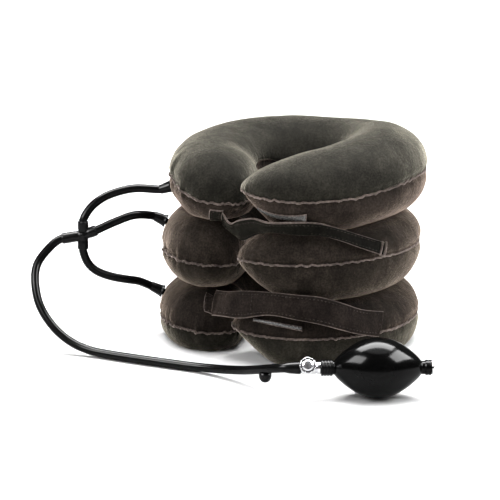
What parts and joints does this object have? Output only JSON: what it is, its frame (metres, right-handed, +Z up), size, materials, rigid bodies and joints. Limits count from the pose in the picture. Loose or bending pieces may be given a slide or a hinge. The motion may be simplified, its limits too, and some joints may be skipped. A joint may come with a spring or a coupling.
{
  "type": "cervical traction collar",
  "caption": "Inflatable neck traction collar of stacked split rings with strap fasteners, air hoses, a release valve and a squeeze bulb.",
  "frame": {"origin": "centre of the footprint box of the collar, valve and bulb, on the surface that they rest on", "axes": "+Z up through the neck opening, -Y is the side of the collar's front split, +X towards the hand bulb"},
  "size_m": [0.3796, 0.2846, 0.1919],
  "materials": {
    "cover_upper": "flocked velour, grey-olive",
    "cover_lower": "flocked velour, grey-brown",
    "hook_tape": "hook tape",
    "bladder_rubber": "matt",
    "black_rubber": "satin",
    "bulb_rubber": "glossy",
    "chrome": "polished"
  },
  "bodies": {
    "base": {"bottom_cover_upper": "cover_upper", "bottom_cover_lower": "cover_lower", "bottom_bladder": "bladder_rubber", "bottom_port": "black_rubber", "bottom_hook_patch": "hook_tape", "bottom_strap_root": "cover_upper", "bottom_hose": "black_rubber", "main_hose": "black_rubber", "hose_stub": "black_rubber", "hose_ferrule": "black_rubber", "valve_body": "chrome", "outlet_seat": "black_rubber", "bulb_neck_sleeve": "black_rubber", "bulb": "bulb_rubber", "intake_valve_body": "chrome", "intake_retainer": "chrome"},
    "middle_tier": {"middle_cover_upper": "cover_upper", "middle_cover_lower": "cover_lower", "middle_bladder": "bladder_rubber", "middle_port": "black_rubber", "middle_hose": "black_rubber", "four_way_connector": "black_rubber", "lower_bond_band": "cover_lower"},
    "top_tier": {"top_cover_upper": "cover_upper", "top_cover_lower": "cover_lower", "top_bladder": "bladder_rubber", "top_port": "black_rubber", "top_hose": "black_rubber", "top_hook_patch": "hook_tape", "top_strap_root": "cover_lower", "upper_bond_band": "cover_lower"},
    "top_strap_flap": {"top_strap": "cover_lower"},
    "bottom_strap_flap": {"bottom_strap": "cover_upper"},
    "release_screw": {"release_wheel": "chrome"},
    "outlet_valve": {"outlet_disc": "black_rubber"},
    "intake_valve": {"intake_disc": "black_rubber"}
  },
  "joints": [
    {"name": "middle_tier_height", "type": "slide", "parent": "base", "child": "middle_tier", "axis": [0, 0, 1], "range_m": [-0.0568, 0], "deforming": ["bottom_cover_upper", "bottom_cover_lower", "bottom_bladder", "bottom_port", "bottom_hook_patch", "bottom_strap_root", "bottom_strap", "bottom_hose", "main_hose", "middle_cover_upper", "middle_cover_lower", "middle_bladder", "middle_hose", "lower_bond_band", "middle_port", "four_way_connector"]},
    {"name": "top_tier_height", "type": "slide", "parent": "middle_tier", "child": "top_tier", "axis": [0, 0, 1], "range_m": [-0.0361, 0], "deforming": ["top_cover_upper", "top_cover_lower", "top_bladder", "top_port", "top_hose", "top_hook_patch", "top_strap_root", "top_strap", "upper_bond_band"]},
    {"name": "top_strap_hinge", "type": "hinge", "parent": "top_tier", "child": "top_strap_flap", "pos_m": [-0.05593, -0.06158, 0.1215], "axis": [0, 0, -1], "range_deg": [0, 70]},
    {"name": "bottom_strap_hinge", "type": "hinge", "parent": "base", "child": "bottom_strap_flap", "pos_m": [-0.06193, -0.06308, 0.046], "axis": [0, 0, -1], "range_deg": [0, 70]},
    {"name": "release_screw_turn", "type": "hinge", "parent": "base", "child": "release_screw", "pos_m": [0.07183, -0.12712, 0.0255], "axis": [0.505, -0.7526, 0.4226], "range_deg": [0, 540]},
    {"name": "bulb_squeeze_outlet", "type": "slide", "parent": "base", "child": "outlet_valve", "axis": [-0.8304, -0.5572, 0], "range_m": [0, 0.0012], "stiffness_N_per_m": 3},
    {"name": "bulb_refill_intake", "type": "slide", "parent": "base", "child": "intake_valve", "axis": [-0.8304, -0.5572, 0], "range_m": [0, 0.0012], "stiffness_N_per_m": 3}
  ],
  "couplings": [
    {"joint": "top_tier_height", "follows": "middle_tier_height", "ratio": 0.6343}
  ]
}
